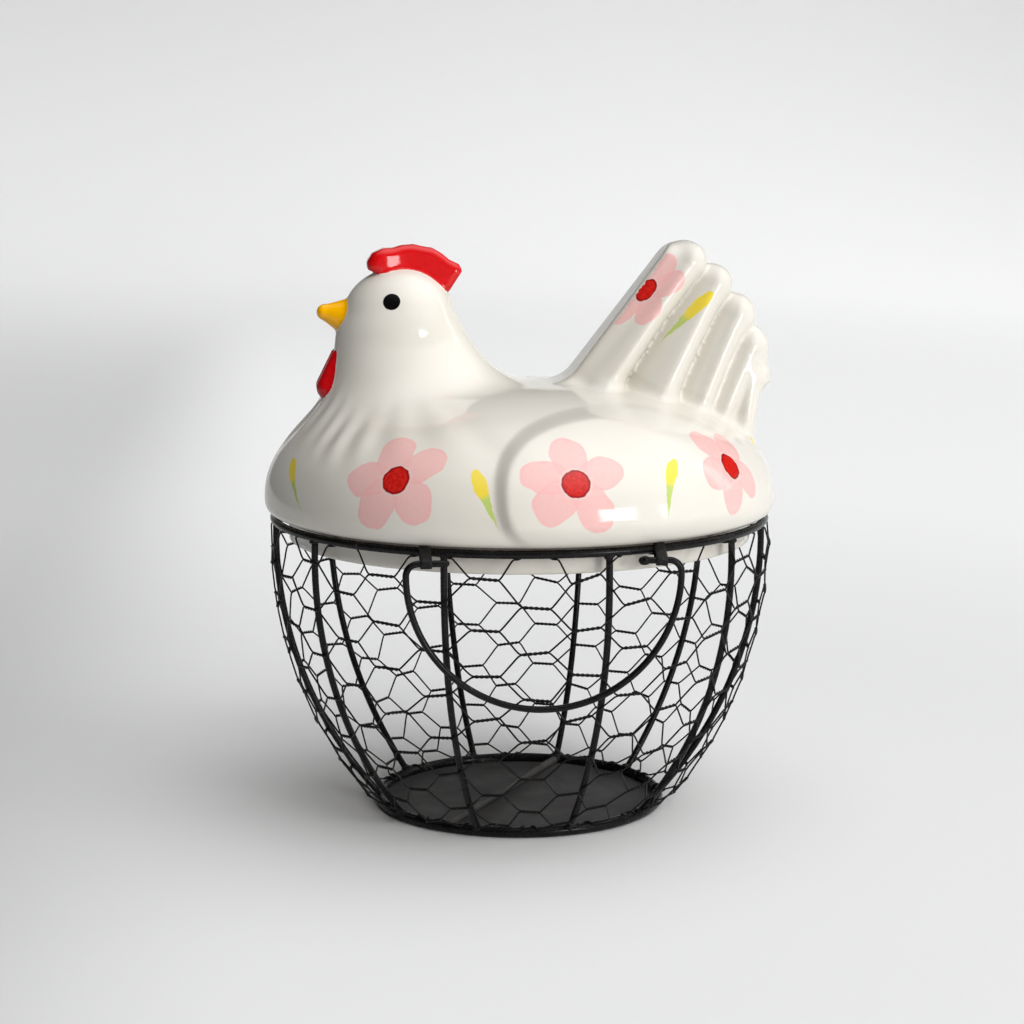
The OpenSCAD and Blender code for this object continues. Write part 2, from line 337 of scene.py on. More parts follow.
# How deep a rib's end runs into a hoop, how far a rib sways sideways, and the half
# sizes of the weld beads at its two ends
WELD = 0.5
RIB_SWAY = 0.22
TOP_BEAD, FOOT_BEAD = (1.8, 1.5, 1.15), (2.0, 1.9, 1.25)


def hoop(radius, wire_r, height, steps):
    bearing = np.arange(steps) * 360 / steps
    angle = np.radians(bearing)
    off = HOOP_WAVE * (np.sin(3 * angle + 0.7) + 0.6 * np.sin(7 * angle + 2.1))
    return tube(polar(radius + off, bearing, height), wire_r, 20, polar(1, bearing, 0), closed=True)


for name, node, size in (
    ("rim_wire", "top_rim", (RIM_R, RIM_WIRE_R, RIM_Z, 240)),
    ("base_ring_wire", "base_ring", (RING_R, RING_WIRE_R, RING_Z, 200)),
):
    hoop_piece = Piece()
    hoop_piece.add(*hoop(*size))
    hoop_piece.build(name, wire_paint, "basket", [node])

TOP_ANGLE = math.asin((RIM_Z - RIM_WIRE_R + WELD - BELLY_Z) / RIB_ARC_R)
FOOT_ANGLE = RING_ANGLE - (RING_WIRE_R - WELD) / RIB_ARC_R
FOOT_R = ARC_X + RIB_ARC_R * math.cos(FOOT_ANGLE)

ribs = Piece()
beads = Piece()
for bearing in RIB_BEARING + np.arange(RIB_COUNT) * RIB_PITCH:
    angle = np.linspace(TOP_ANGLE, -FOOT_ANGLE, 46)
    along = np.linspace(0, 1, len(angle))
    sway = RIB_SWAY * np.sin(np.pi * along) * np.sin(4.2 * along + RNG.uniform(0, 6))
    radius = ARC_X + RIB_ARC_R * np.cos(angle)
    path = polar(radius, bearing + np.degrees(sway / radius), BELLY_Z + RIB_ARC_R * np.sin(angle))
    ribs.add(*tube(path, RIB_WIRE_R, 16, polar(1, bearing, 0)))
    beads.add(*blob(polar(RIM_R - 0.3, bearing, RIM_Z - 1.5), TOP_BEAD, 0.22, bearing))
    beads.add(*blob(polar(FOOT_R, bearing, RING_Z + 1.7), FOOT_BEAD, 0.25, bearing))
rib_nodes = [f"rib_{i:02d}" for i in range(1, RIB_COUNT + 1)]
ribs.build("rib_wires", wire_paint, "basket", rib_nodes)

# ---- Base plate and its bar ----

BAR_WIRE_R = 1.5
BAR_BEARINGS = (-36, 158)
BAR_BEAD = (1.9, 1.9, 1.5)
# How deep the bar lies in the plate's uneven sheet and runs into the base ring
BAR_SINK, BAR_WELD = 0.05, 0.4

bar_z = PLATE_TOP + BAR_WIRE_R - BAR_SINK
bar_ends = [polar(RING_R - RING_WIRE_R + BAR_WELD, bearing, bar_z) for bearing in BAR_BEARINGS]
along = np.linspace(0, 1, 40)
bar_path = bar_ends[0] + (bar_ends[1] - bar_ends[0]) * along[:, None]
bar_path[:, 2] += 0.12 * np.sin(9 * along)
bar = Piece()
bar.add(*tube(bar_path, BAR_WIRE_R, 16, (0, 0, 1)))
bar.build("base_bar", bar_paint, "basket", ["base_cross_bar"])
for end in bar_ends:
    beads.add(*blob(end, BAR_BEAD, 0.3))
beads.build("weld_beads", bead_paint, "basket")

PLATE_R = box_mm("base_plate")[1][0]
# The plate's sheet is even in the last few millimetres before its rounded edge
EVEN_R = 50
SHEET_GREYS = (0.040, 0.039, 0.039), (0.058, 0.056, 0.056)
SHEET_DUST = (0.12, 0.11, 0.10)


def plate_height(x, y):
    """The sheet's slight unevenness"""
    return 0.1 * np.sin(x / 17 + 0.5) * np.cos(y / 21) + 0.06 * np.sin((x + 2 * y) / 13)


def plate_mesh(sectors=72):
    bearing = np.arange(sectors)[None, :] * 360 / sectors
    radii = np.concatenate([np.linspace(0.5, PLATE_R - 0.4, 24), [PLATE_R - 0.1, PLATE_R]])
    top = polar(radii[:, None], bearing, PLATE_TOP - 0.1)
    top[..., 2] += plate_height(top[..., 0], top[..., 1]) * (radii < EVEN_R)[:, None]
    top[-1, :, 2] -= 0.2
    low_radii, low_z = np.array([PLATE_R, PLATE_R - 0.2, 0.5]), np.array([0.25, 0.02, 0.02])
    under = polar(low_radii[:, None], bearing, low_z[:, None])
    verts = np.concatenate([top, under]).reshape(-1, 3)
    faces = list(grid_faces(len(top) + len(under), sectors)[:, ::-1])
    last = len(verts) - sectors
    return verts, faces + [range(sectors), range(last, last + sectors)[::-1]]


def sheet_paint():
    """Dull dark sheet, mottled and a little dusty"""
    s = Shader("dark_grey_sheet", 0.3)
    mottle, speck = s.noise(14.0, 4.0), s.noise(0.7)
    colour = s.mix(s.step(mottle, 0.3, 0.7), *SHEET_GREYS)
    dust = s.times(s.step(speck, 0.6, 0.75), 0.3)
    s.set("Base Color", s.mix(dust, colour, SHEET_DUST))
    s.set("Roughness", s.step(mottle, 0.3, 0.7, 0.42, 0.6))
    s.set("Normal", s.bump(speck, 0.05))
    return s.material


plate = Piece()
plate.add(*plate_mesh())
plate.build("base_disc", sheet_paint(), "basket", ["base_plate"])

# ---- Netting ----
# Strand n runs round the basket and swings between levels n and n + 1. Where two
# strands share a level they are twisted round each other.

NET_WIRE_R = 0.34
# From the ribs' outside to the netting's middle
NET_ROOM = 0.45
NET_COLUMNS = 32
NET_PITCH = 360 / NET_COLUMNS
NET_LEVEL = 8.75
NET_BEARING = -2.0
TWIST_DEGREES = NET_PITCH * 0.6
TURNS = 3.0
# Points along a twist, and along the leg between two twists
TWIST_STEPS = 29
LEG_STEPS = 5
NET_ARC_R = RIB_ARC_R + RIB_WIRE_R + NET_ROOM
# The level at the rim is -1. This one is at the base ring, this far down the ribs.
LOWEST_LEVEL = 13
NET_LENGTH = 111
# The netting is calm behind the handle: this far to each side and down
CALM_DEGREES, CALM_DOWN = 38, 60
# The end that is folded round the rim is longer than a twist, by this share
RIM_FOLD = 1.4


def on_netting(bearing, down, lift):
    """A place on the netting, from its distance down from the belly"""
    angle = down / NET_ARC_R
    radius = ARC_X + (NET_ARC_R + lift) * np.cos(angle)
    return polar(radius, bearing, BELLY_Z - (NET_ARC_R + lift) * np.sin(angle))


# Uneven places of the twists: turn round the basket, drop and slope. Then how far
# the netting bulges in each gap between ribs, at four heights.
TWISTS = (LOWEST_LEVEL + 2, NET_COLUMNS)
twist_shift = RNG.normal(0, 0.45, TWISTS)
twist_drop = RNG.normal(0, 0.35, TWISTS)
twist_slope = RNG.normal(0, 0.45, TWISTS) - 0.25
gap_bulge = RNG.uniform(0.2, 1.5, (RIB_COUNT, 4))


def netting_lift(bearing, down):
    """How far the netting stands off the ribs' outside"""
    place = (bearing - RIB_BEARING) / RIB_PITCH
    gap = np.floor(place).astype(int) % RIB_COUNT
    between = np.sin(np.pi * (place - np.floor(place))) ** 2
    row = np.clip(down / NET_LENGTH * 3, 0, 2.999)
    low = gap_bulge[gap, row.astype(int)]
    high = gap_bulge[gap, row.astype(int) + 1]
    share = row - np.floor(row)
    near_handle = np.abs((bearing + 180) % 360 - 180) < CALM_DEGREES
    calm = np.where(near_handle & (down < CALM_DOWN), 0.3, 1.0)
    return between * (low * (1 - share) + high * share) * calm


def folded_end(hoop_r, wire_r, height, bearing, degrees):
    """The netting's wire where it is folded round a hoop"""
    wrap = np.radians(degrees)
    reach = wire_r + NET_WIRE_R * 0.9
    return polar(hoop_r + reach * np.cos(wrap), bearing, height + reach * np.sin(wrap))


def twist_points(strand, column):
    """One strand's path where it meets its neighbour or a hoop"""
    level = strand if (strand + column) % 2 == 1 else strand + 1
    t = np.linspace(0, 1, TWIST_STEPS)
    row, col = level + 1, column % NET_COLUMNS
    middle, off = NET_BEARING + column * NET_PITCH, (t - 0.5) * TWIST_DEGREES
    arch = np.sin(np.pi * t)
    if level == -1:
        return folded_end(RIM_R, RIM_WIRE_R, RIM_Z, middle + off * RIM_FOLD, -50 - 150 * arch)
    if level == LOWEST_LEVEL:
        return folded_end(RING_R, RING_WIRE_R, RING_Z, middle + off, 35 + 125 * arch)
    bearing = middle + off + twist_shift[row, col]
    wound = 2 * np.pi * TURNS * t
    coil = NET_WIRE_R if level == strand else -NET_WIRE_R
    middle = level * NET_LEVEL + twist_drop[row, col] + twist_slope[row, col] * (t - 0.5) * 2
    down = middle + coil * np.cos(wound)
    lift = netting_lift(bearing, middle) + coil * np.sin(wound)
    return on_netting(bearing, down, lift)


netting = Piece()
for strand in range(-1, LOWEST_LEVEL):
    runs = [twist_points(strand, column) for column in range(NET_COLUMNS)]
    path = []
    for run, following in zip(runs, runs[1:] + runs[:1]):
        path.append(run)
        share = np.linspace(0, 1, LEG_STEPS + 2)[1:-1, None]
        path.append(run[-1] * (1 - share) + following[0] * share)
    path = np.concatenate(path)
    path = (np.roll(path, 1, 0) + 2 * path + np.roll(path, -1, 0)) / 4
    outward = unit(path * (1, 1, 0)) + (0, 0, 0.02)
    netting.add(*tube(path, NET_WIRE_R, 6, outward, closed=True))
panel_nodes = [f"netting_panel_{i:02d}" for i in range(1, RIB_COUNT + 1)]
netting.build("netting", net_paint, "basket", panel_nodes)

# ---- Handle and its clips ----

BEND_R = 4.3
HINGE_END = 9.7
HINGE_HEAD = (2.1, 1.7, 1.65)
STRAP_T = 0.5
# Room between the strap and the rim's wire, and between it and the hinge end
RIM_ROOM, HINGE_ROOM = 0.06, 0.12
bend_x = HANDLE_R - BEND_R
loop_z = HANDLE_Z - BEND_R
turn = np.radians(np.linspace(90, 0, 9))[1:]
right_side = [(bend_x - HINGE_END * (1 - t), HANDLE_Z) for t in np.linspace(0, 1, 8)]
right_side += [(bend_x + BEND_R * math.cos(a), loop_z + BEND_R * math.sin(a)) for a in turn]
swing = np.radians(np.linspace(0, -180, 97))[1:]
loop = [(HANDLE_R * math.cos(a), loop_z + HANDLE_R * math.sin(a)) for a in swing]
profile = np.array(right_side + loop + [(-x, z) for x, z in right_side[::-1]][1:])
handle_path = np.stack([profile[:, 0], np.full(len(profile), HANDLE_Y), profile[:, 1]], -1)
handle = Piece()
handle.add(*tube(handle_path, HANDLE_WIRE_R, 18, (0, 1, 0)))
# The right hinge end is hammered to a rough head
handle.add(*blob((bend_x - HINGE_END + 1.0, HANDLE_Y, HANDLE_Z), HINGE_HEAD, 0.2))
handle.build("handle_wire", wire_paint, "handle", ["drop_handle"])


def strap(side, crush):
    """A band folded round the rim and a hinge end of the handle"""
    half_w, half_t, corner = CLIP_W / 2, STRAP_T / 2, 0.18
    inner = [(dx, -half_t) for dx in (corner - half_w, -half_w / 2, 0, half_w / 2, half_w - corner)]
    inner = [(-half_w, corner - half_t), *inner, (half_w, corner - half_t)]
    across = inner + [(-dx, -dt) for dx, dt in inner]
    around = np.radians(np.arange(72) * 5.0)
    facing = np.stack([np.cos(around), np.sin(around)], -1)
    hinge, hinge_r = np.array([HANDLE_Y, HANDLE_Z]), HANDLE_WIRE_R + HINGE_ROOM
    rim_r = RIM_WIRE_R + RIM_ROOM
    rings = []
    for dx, dt in across:
        x = side * CLIP_X + dx
        rim = np.array([-math.sqrt(RIM_R**2 - x**2), RIM_Z])
        outline = np.where(
            (facing @ rim + rim_r > facing @ hinge + hinge_r)[:, None],
            rim + facing * (rim_r + half_t + dt),
            hinge + facing * (hinge_r + half_t + dt),
        )
        dent = crush * (np.sin(3 * around + dx) + np.sin(5 * around + 2 * dx + 1)) * (dt > 0)
        # The lid rests on its top, which stays smooth
        dent = dent * (1 - smoothstep(0.3, 0.8, facing[:, 1]))
        outline = outline + facing * dent[:, None]
        rings.append(np.column_stack([np.full(len(around), x), outline]))
    return np.concatenate(rings), grid_faces(len(across), len(around), True)[:, ::-1]


# The right strap is folded more roughly
for name, side, crush in (("left", -1, 0.02), ("right", 1, 0.17)):
    clip = Piece()
    clip.add(*strap(side, crush))
    clip.build(
        f"clip_strap_{name}", strap_paint, "basket", [f"handle_clip_{name}"]
    )

# ---- Hen lid ----
# The hen is a signed distance: simple shapes joined by smooth unions, hollowed to
# a thin wall, and meshed where the distance is nought.

lid_low, lid_high = box_mm("hen_lid")
HEN_R = lid_high[0]
FLANGE_Z = lid_low[2]
FLANGE_R = 88.0
SEAT_Z = RIM_Z + RIM_WIRE_R + 0.5
WIDEST_Z = SEAT_Z + 5.3
BACK_Z = 163.5
WALL = 4.0
# The locating ring and the hollow reach up into the body, to these heights
FLANGE_TOP, MOUTH_TOP = 119, 122
# Powers that flatten the body's dome: outwards and upwards
DOME_OUT, DOME_UP = 0.78, 0.9
# How far the body draws in again below its widest place
SEAT_TUCK = 2.08
# The table of the body's half section starts at this height and has this step
TABLE_LOW, TABLE_STEP = 96, 0.5


def soft_min(a, b, k):
    h = np.clip(0.5 + 0.5 * (b - a) / k, 0, 1)
    return b * (1 - h) + a * h - k * h * (1 - h)


def soft_max(a, b, k):
    return -soft_min(-a, -b, k)


def taper(p, start, end, start_r, end_r, start_wide=0.0, end_wide=0.0):
    """Tapered rod between two places in the XZ plane, drawn out along Y"""
    dx, dz = p[:, 0] - start[0], p[:, 2] - start[1]
    ux, uz = end[0] - start[0], end[1] - start[1]
    h = np.clip((dx * ux + dz * uz) / (ux * ux + uz * uz), 0, 1)
    y = np.maximum(np.abs(p[:, 1]) - start_wide - (end_wide - start_wide) * h, 0)
    gap = np.sqrt((dx - h * ux) ** 2 + (dz - h * uz) ** 2 + y * y)
    return gap - start_r - (end_r - start_r) * h


def local(p, low, high, shape, reach=11.0):
    """A shape's distance near its box. Further off, the distance to the box will do."""
    off = np.linalg.norm(np.maximum(np.maximum(low - p, p - high), 0), axis=1)
    near = off < reach
    off += 1
    if near.any():
        off[near] = shape(p[near])
    return off


def section_table():
    """Distances to the body's half section, on a grid of radius and height"""
    a = np.radians(np.linspace(0, 90, 360))
    dome_r = HEN_R * np.cos(a) ** DOME_OUT
    dome_z = WIDEST_Z + (BACK_Z - WIDEST_Z) * np.sin(a) ** DOME_UP
    t = np.linspace(-1.6, 1, 80)[:-1]
    swell_r = HEN_R - SEAT_TUCK * (1 - t) ** 2
    swell_z = SEAT_Z + (WIDEST_Z - SEAT_Z) * t
    line = np.stack([np.append(swell_r, dome_r), np.append(swell_z, dome_z)], -1)
    r_axis = np.arange(0, 126, TABLE_STEP)
    z_axis = np.arange(TABLE_LOW, 226, TABLE_STEP)
    table = np.empty((len(r_axis), len(z_axis)))
    start, run = line[:-1], np.diff(line, axis=0)
    run2 = (run**2).sum(-1)
    for i, r in enumerate(r_axis):
        off_r, off_z = r - start[:, 0], z_axis[:, None] - start[None, :, 1]
        h = np.clip((off_r * run[:, 0] + off_z * run[:, 1]) / run2, 0, 1)
        gap = np.hypot(off_r - h * run[:, 0], off_z - h * run[:, 1]).min(1)
        inside = (r < np.interp(z_axis, line[:, 1], line[:, 0])) & (z_axis < BACK_Z)
        table[i] = np.where(inside, -gap, gap)
    return table


SECTION = section_table()


def body_distance(p):
    r = np.clip(np.hypot(p[:, 0], p[:, 1]) / TABLE_STEP, 0, SECTION.shape[0] - 1.001)
    z = np.clip((p[:, 2] - TABLE_LOW) / TABLE_STEP, 0, SECTION.shape[1] - 1.001)
    i, j = r.astype(int), z.astype(int)
    fr, fz = r - i, z - j
    return (
        SECTION[i, j] * (1 - fr) * (1 - fz)
        + SECTION[i + 1, j] * fr * (1 - fz)
        + SECTION[i, j + 1] * (1 - fr) * fz
        + SECTION[i + 1, j + 1] * fr * fz
    )


# Breast and neck: front, back and half width at a few heights
NECK_Z = [115, 125, 135, 144, 157, 163, 171, 178, 186.5, 192]
NECK_FRONT = [-84, -84, -83, -81, -75.5, -72.5, -70.5, -70.5, -67.5, -64]
NECK_BACK = [34, 26, 18, 11, 0, -5, -11.5, -17.5, -23, -25]
NECK_HALF = [66, 60, 54, 47, 35.5, 30.5, 25.5, 22.5, 20.4, 19.5]
neck_front = np.polyfit(NECK_Z, NECK_FRONT, 5)
neck_back = np.polyfit(NECK_Z, NECK_BACK, 4)
neck_half = np.polyfit(NECK_Z, NECK_HALF, 4)
NECK_X = -42.0
# The crown's and the brow's middle and radius
CROWN, CROWN_R = (-44.5, 0, 186.5), 20.4
BROW, BROW_R = (-48.7, 0, 187.5), 18.1
EYE_X, EYE_Z, EYE_R = -49.0, 194.9, 3.25


def neck_distance(p):
    z = np.clip(p[:, 2], NECK_Z[0], NECK_Z[-1])
    front, back = np.polyval(neck_front, z), np.polyval(neck_back, z)
    half = np.polyval(neck_half, z)
    reach = (back - front) / 2
    round_off = np.hypot((p[:, 0] - (front + back) / 2) / reach, p[:, 1] / half)
    side = (round_off - 1) * np.minimum(reach, half)
    return soft_max(side, p[:, 2] - 188, 6)


def head_distance(p):
    crown = np.linalg.norm((p - CROWN) * (1, 1.03, 1), axis=1) - CROWN_R
    return soft_min(crown, np.linalg.norm(p - BROW, axis=1) - BROW_R, 1.5)


# The comb's outline in the XZ plane, and how far its edges are rounded
COMB_ROUND = 2.6
COMB = [
    (-57.4, 206), (-57.6, 209), (-55.5, 212.2), (-51.5, 213.9), (-48, 214.0), (-44.5, 215.0),
    (-40, 215.4), (-36.5, 214.5), (-33, 214.0), (-29.5, 212), (-26.5, 209.5), (-23, 207.8),
    (-21.6, 205.4), (-26.8, 197.6), (-33, 199), (-40, 202), (-46, 203.4), (-53, 204.2),
]


def outline_distance(x, z, outline):
    """Signed distance to a closed outline in the XZ plane"""
    gap = np.full(len(x), np.inf)
    sign = np.ones(len(x))
    for (ax, az), (bx, bz) in zip(outline, outline[-1:] + outline[:-1]):
        ex, ez, wx, wz = bx - ax, bz - az, x - ax, z - az
        h = np.clip((wx * ex + wz * ez) / (ex * ex + ez * ez), 0, 1)
        gap = np.minimum(gap, (wx - ex * h) ** 2 + (wz - ez * h) ** 2)
        above, below, left = z >= az, z < bz, ex * wz > ez * wx
        flip = (above & below & left) | (~above & ~below & ~left)
        sign = np.where(flip, -sign, sign)
    return sign * np.sqrt(gap)


def comb_shape(p):
    flat = outline_distance(p[:, 0], p[:, 2], COMB) + COMB_ROUND
    # Its front lobe is the thickest
    half = 5.4 - 0.09 * (p[:, 2] - 200) + 2.4 * np.exp(-(((p[:, 0] + 53) / 7) ** 2))
    side = np.abs(p[:, 1]) - half + COMB_ROUND
    both = np.hypot(np.maximum(flat, 0), np.maximum(side, 0))
    return np.minimum(np.maximum(flat, side), 0) + both - COMB_ROUND


def comb_distance(p):
    return local(p, (-60, -8, 195), (-19, 8, 217), comb_shape)


def beak_distance(p):
    return taper(p, (-61.5, 187.4), (-73.4, 190.0), 9.3, 3.1)


def wattle_distance(p):
    pair = np.stack([p[:, 0], np.abs(p[:, 1]) - 5.0, p[:, 2]], -1)
    return taper(pair, (-69.6, 174.0), (-71.8, 162.2), 1.8, 5.2)


# Each feather of the tail: its root and tip, its radius at both, and how softly it
# joins the one before
FEATHERS = [
    ((31, 163.5), (62.6, 207.9), 12.5, 8.6, 3.0),
    ((52.5, 162), (72.6, 199.4), 14.5, 8.4, 1.5),
    ((68, 159), (80.9, 187.6), 11.5, 9.2, 1.5),
    ((77, 155), (86.0, 175.4), 9.5, 9.6, 2.2),
    ((84, 147), (86.3, 164.2), 9.5, 10.4, 3.5),
]
# The first feather's front edge
EDGE_ROOT, EDGE_TIP = (21.5, 160.5), (57, 208.3)
# Half widths of a feather's flat side, and how fast they shrink towards the front
ROOT_WIDE, TIP_WIDE = 9.0, 4.6
FRONT_SLANT = 0.62
# How steeply a feather drops behind its ridge: outside, and in the hollow
STEEP_OUTSIDE, STEEP_HOLLOW = 1.9, 2.8


def feather_distance(p, root, tip, root_r, tip_r, lean):
    """A feather slants away towards the front and drops steeply behind its ridge"""
    axis = np.subtract(tip, root)
    length = np.hypot(*axis)
    axis = axis / length
    dx, dz = p[:, 0] - root[0], p[:, 2] - root[1]
    along = dx * axis[0] + dz * axis[1]
    h = np.clip(along / length, 0, 1)
    side = dx * axis[1] - dz * axis[0]
    wide = ROOT_WIDE + (TIP_WIDE - ROOT_WIDE) * h - FRONT_SLANT * np.maximum(-side, 0)
    side = side * np.where(side > 0, lean - (lean - 1.1) * h**3, 1.0)
    y = np.maximum(np.abs(p[:, 1]) - np.maximum(wide, 0), 0)
    gap = np.sqrt((along - h * length) ** 2 + side**2 + y * y)
    return gap - root_r - (tip_r - root_r) * h


# The tail's flat front: a point on it and its direction in the XZ plane
FRONT_AT, FRONT_FACING = (18.4, 165.6), (-0.795, 0.606)


def tail_front(p):
    """Distance in front of the tail's flat front"""
    return (p[:, ::2] - FRONT_AT) @ FRONT_FACING


def tail_shape(p, lean):
    tail = taper(p, EDGE_ROOT, EDGE_TIP, 7.0, 6.5, ROOT_WIDE - 2, TIP_WIDE - 1)
    for root, tip, root_r, tip_r, soft in FEATHERS:
        tail = soft_min(tail, feather_distance(p, root, tip, root_r, tip_r, lean), soft)
    return soft_max(tail, tail_front(p), 1.0)


def tail_distance(p, lean):
    return local(p, (10, -26, 138), (98, 26, 218), lambda q: tail_shape(q, lean), 16.0)


# The wing's oval: its middle and half axes in the XZ plane, its power, and its relief
WING_AT, WING_HALF = (31, 133.0), (49, 26.5)
WING_POWER = 2.6
WING_DEPTH, HACKLE_DEPTH = 3.2, 0.4


def wing_relief(p):
    """How far a wing stands out of the flank, from 0 to 1"""
    off = np.abs((p[:, ::2] - WING_AT) / WING_HALF)
    oval = (off**WING_POWER).sum(-1) ** (1 / WING_POWER)
    fade = smoothstep(20, 66, p[:, 0])
    edge = 1 - smoothstep(0.89 - 0.45 * fade, 1.0 + 0.25 * fade, oval)
    low = smoothstep(SEAT_Z - 2, SEAT_Z + 9, p[:, 2])
    return edge * low * smoothstep(36, 52, np.abs(p[:, 1]))


def hackle_grooves(p):
    """Soft upright grooves where the neck's feathers end, from -1 to 1"""
    angle = np.arctan2(p[:, 1], p[:, 0] - NECK_X)
    wave = np.cos(25 * angle + 1.3 * np.sin(3 * angle)) * (0.75 + 0.25 * np.cos(7 * angle + 2))
    high = 149 + 4 * np.cos(5 * angle + 1) + 2 * np.sin(2 * angle)
    band = np.exp(-(((p[:, 2] - high) / 6.5) ** 2))
    forward = smoothstep(12, -22, p[:, 0])
    return wave * band * forward


def hen_core(p, feathered=True):
    """The hen without comb, beak and wattles. Unfeathered, it has no wings or grooves."""
    neck = soft_min(neck_distance(p), head_distance(p), 5.0)
    if feathered:
        core = soft_min(body_distance(p) - WING_DEPTH * wing_relief(p), neck, 11.0)
        core = core + HACKLE_DEPTH * hackle_grooves(p)
    else:
        core = soft_min(body_distance(p), neck, 11.0)
    return soft_min(core, tail_distance(p, STEEP_OUTSIDE if feathered else STEEP_HOLLOW), 6.0)


def hen_outside(p):
    core = hen_core(p)
    extra = soft_min(comb_distance(p), beak_distance(p), 0.5)
    extra = soft_min(extra, wattle_distance(p), 0.5)
    return soft_min(core, extra, 0.9)


def hen_shell(p):
    outside = hen_outside(p)
    radius = np.hypot(p[:, 0], p[:, 1])
    above = soft_max(outside, SEAT_Z - p[:, 2], 2.6)
    flange = soft_max(radius - FLANGE_R, FLANGE_Z - p[:, 2], 1.5)
    solid = soft_min(above, soft_max(flange, p[:, 2] - FLANGE_TOP, 1), 1.2)
    hollow = soft_max(hen_core(p, False) + WALL, SEAT_Z + WALL - p[:, 2], 1)
    mouth = soft_max(radius - FLANGE_R + WALL, p[:, 2] - MOUTH_TOP, 1)
    return soft_max(solid, -soft_min(hollow, mouth, 3.0), 1.0)


def surface_nets(field, low, high, step, block=26):
    """Quads round a signed distance: one vertex in each grid cell that it crosses"""
    axes = [np.arange(a, b + step, step) for a, b in zip(low, high)]
    values = np.empty([len(a) for a in axes], np.float32)
    y, z = np.meshgrid(axes[1], axes[2], indexing="ij")
    for start in range(0, len(axes[0]), block):
        x = axes[0][start : start + block]
        points = np.empty((len(x),) + y.shape + (3,))
        points[..., 0] = x[:, None, None]
        points[..., 1], points[..., 2] = y, z
        values[start : start + block] = field(points.reshape(-1, 3)).reshape(points.shape[:3])
    inside = values < 0
    shape = np.array(values.shape) - 1
    corners = [(i, j, k) for i in (0, 1) for j in (0, 1) for k in (0, 1)]

    def at(grid, corner):
        i, j, k = corner
        return grid[i : i + shape[0], j : j + shape[1], k : k + shape[2]]

    filled = sum(at(inside, corner).astype(int) for corner in corners)
    cells = np.argwhere((filled > 0) & (filled < len(corners)))
    index = np.full(shape, -1)
    index[tuple(cells.T)] = np.arange(len(cells))
    total, crossings = np.zeros((len(cells), 3)), np.zeros(len(cells))
    for a in corners:
        for axis in range(3):
            if a[axis]:
                continue
            b = tuple(1 if i == axis else c for i, c in enumerate(a))
            value_a, value_b = values[tuple((cells + a).T)], values[tuple((cells + b).T)]
            cross = (value_a < 0) != (value_b < 0)
            share = value_a[cross] / (value_a[cross] - value_b[cross])
            total[cross] += np.array(a) + share[:, None] * (np.array(b) - a)
            crossings[cross] += 1
    verts = (cells + total / crossings[:, None]) * step + [a[0] for a in axes]
    faces = []
    for axis in range(3):
        u, v = (axis + 1) % 3, (axis + 2) % 3
        low_end = np.take(inside, range(shape[axis]), axis)
        high_end = np.take(inside, range(1, shape[axis] + 1), axis)
        edges = np.argwhere(low_end != high_end)
        edges = edges[(edges[:, [u, v]] > 0).all(1) & (edges[:, [u, v]] < shape[[u, v]]).all(1)]
        quad = []
        for du, dv in ((1, 1), (0, 1), (0, 0), (1, 0)):
            cell = edges.copy()
            cell[:, u] -= du
            cell[:, v] -= dv
            quad.append(index[tuple(cell.T)])
        quad = np.stack(quad, -1)
        outward = inside[tuple(edges.T)]
        faces.append(np.where(outward[:, None], quad, quad[:, ::-1]))
    return verts, np.concatenate(faces)


def slope(field, p, step=0.15):
    """Gradient of a distance at some points"""
    parts = []
    for axis in range(3):
        move = np.zeros(3)
        move[axis] = step
        parts.append((field(p + move) - field(p - move)) / (2 * step))
    return np.stack(parts, -1)


HEN_STEP = 1.15
HEN_BOX = (-103, -103, FLANGE_Z - 2), (103, 103, 219)
hen_verts, hen_faces = surface_nets(hen_shell, *HEN_BOX, HEN_STEP)
# Two short steps along the slope bring the vertices onto the surface
for _ in range(2):
    gradient = slope(hen_shell, hen_verts)
    size = np.maximum((gradient**2).sum(-1), 0.3)
    move = -(hen_shell(hen_verts) / size)[:, None] * gradient
    hen_verts += np.clip(move, -0.5, 0.5)

# ---- Hand painting on the glaze ----


def first_hit(outside, inside):
    """Where a line from outside first meets the hen, and its facing there"""
    share = np.linspace(0, 1, 1051)[:, None]
    line = np.multiply(outside, 1 - share) + np.multiply(inside, share)
    point = line[np.argmax(hen_outside(line) < 0)]
    facing = slope(hen_outside, point[None, :], 1.5)[0]
    return point, facing / np.linalg.norm(facing)


def on_tail(x, z):
    """A place on the viewer's side of the tail or head"""
    return first_hit((x, -105, z), (x, 0, z))


def on_body(bearing, z):
    """A place on the body's side"""
    return first_hit(polar(106, bearing, z), (0, 0, z))


def tangent_frame(point, facing, along):
    """Two directions on the surface, the first one near the given direction"""
    u = np.array(along, float)
    u = u - facing * (u @ facing)
    u /= np.linalg.norm(u)
    return u, np.cross(facing, u)


# Flowers: place, size against the common one, turn in degrees, and the direction
# across which the brush drew it narrow, with its share of the full width
FLOWERS = [
    (on_body(-33.3, 136.9), 1.0, 15, 0, 1), (on_body(6.2, 137.2), 0.97, -2, 0, 1),
    (on_body(48.8, 138.1), 0.94, 20, 0, 1), (on_tail(46.9, 198.2), 0.92, 197, 52, 0.62),
]
# Buds: the round head's end, the tip, the half width and the bow to one side
BUDS = [
    (on_body(-71.4, 138.7), on_body(-58.6, 120.9), 2.0, 0.0),
    (on_body(-15.6, 141.2), on_body(-9.2, 119.6), 2.6, 0.5),
    (on_body(31.3, 143.1), on_body(25.5, 121.5), 2.4, 2.0),
    (on_tail(71.6, 197.6), on_tail(50.6, 177.2), 2.5, 0.0),
    (on_body(77.6, 143.2), on_body(74.0, 137.0), 1.2, 0.0),
]

